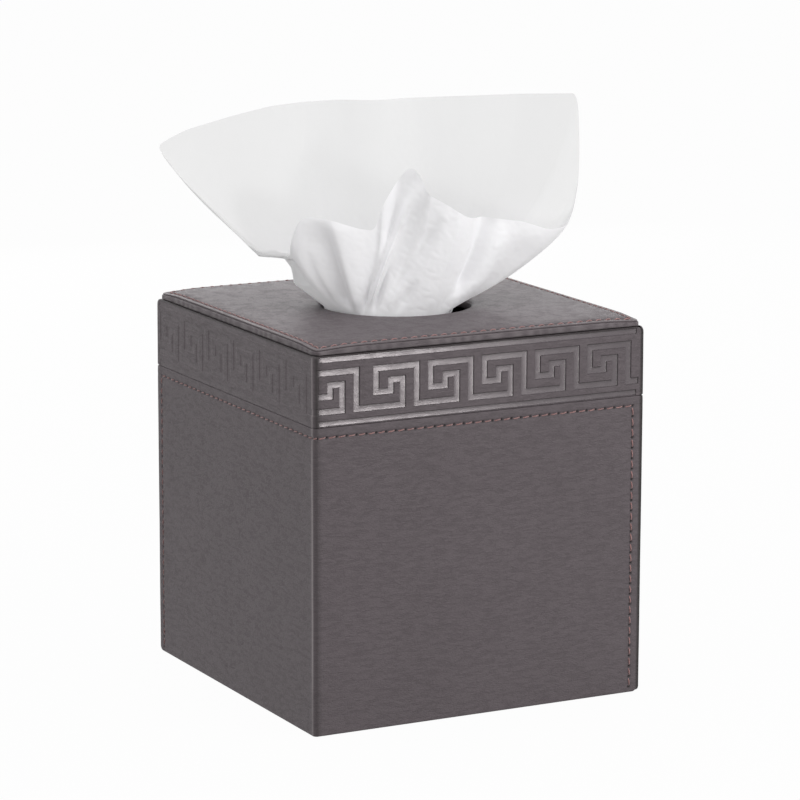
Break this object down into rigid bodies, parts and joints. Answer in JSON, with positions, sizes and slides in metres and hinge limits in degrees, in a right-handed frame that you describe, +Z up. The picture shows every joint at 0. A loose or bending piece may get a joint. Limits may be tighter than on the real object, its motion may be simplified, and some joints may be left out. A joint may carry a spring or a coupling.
{
  "type": "tissue box cover",
  "caption": "Square leather covered box that stands over a cube carton of tissues, with a round mouth in its top, a pressed key band, a hinged bottom flap and a tissue standing in the mouth.",
  "frame": {"origin": "centre of the square base, on the plane that the cover stands on", "axes": "+Z up, -Y the front face with the seam at its right end, -X the left face"},
  "size_m": [0.1545, 0.1354, 0.219],
  "materials": {
    "leather": "satin",
    "board": "matte",
    "lining": "matte",
    "foam": "matte",
    "thread": "matte",
    "steel": "satin",
    "magnet": "satin",
    "tissue": "matte"
  },
  "bodies": {
    "cover": {"front_board": "board", "back_board": "board", "left_board": "board", "right_board": "board", "front_left_panel": "leather", "back_right_panel": "leather", "front_left_band": "leather", "back_right_band": "leather", "front_left_thread": "thread", "back_right_thread": "thread", "wall_lining": "lining", "top_board": "board", "top_edge_roll": "leather", "top_pad": "foam", "top_leather": "leather", "top_thread": "thread", "top_lining": "lining", "catch_ledge": "leather", "catch_plate": "steel", "hinge_wall_leaf": "leather"},
    "bottom_flap": {"flap_board": "board", "flap_leather": "leather", "flap_lining": "lining", "flap_magnets": "magnet", "hinge_flap_leaf": "leather", "pull_tab": "leather"},
    "tissue": {"tissue": "tissue"}
  },
  "joints": [
    {"name": "flap_hinge", "type": "hinge", "parent": "cover", "child": "bottom_flap", "pos_m": [0, 0.0625, 0.0008], "axis": [1, 0, 0], "range_deg": [0, 105]},
    {"name": "tissue_pull", "type": "slide", "parent": "cover", "child": "tissue", "axis": [0, 0, 1], "range_m": [0, 0.1]}
  ]
}
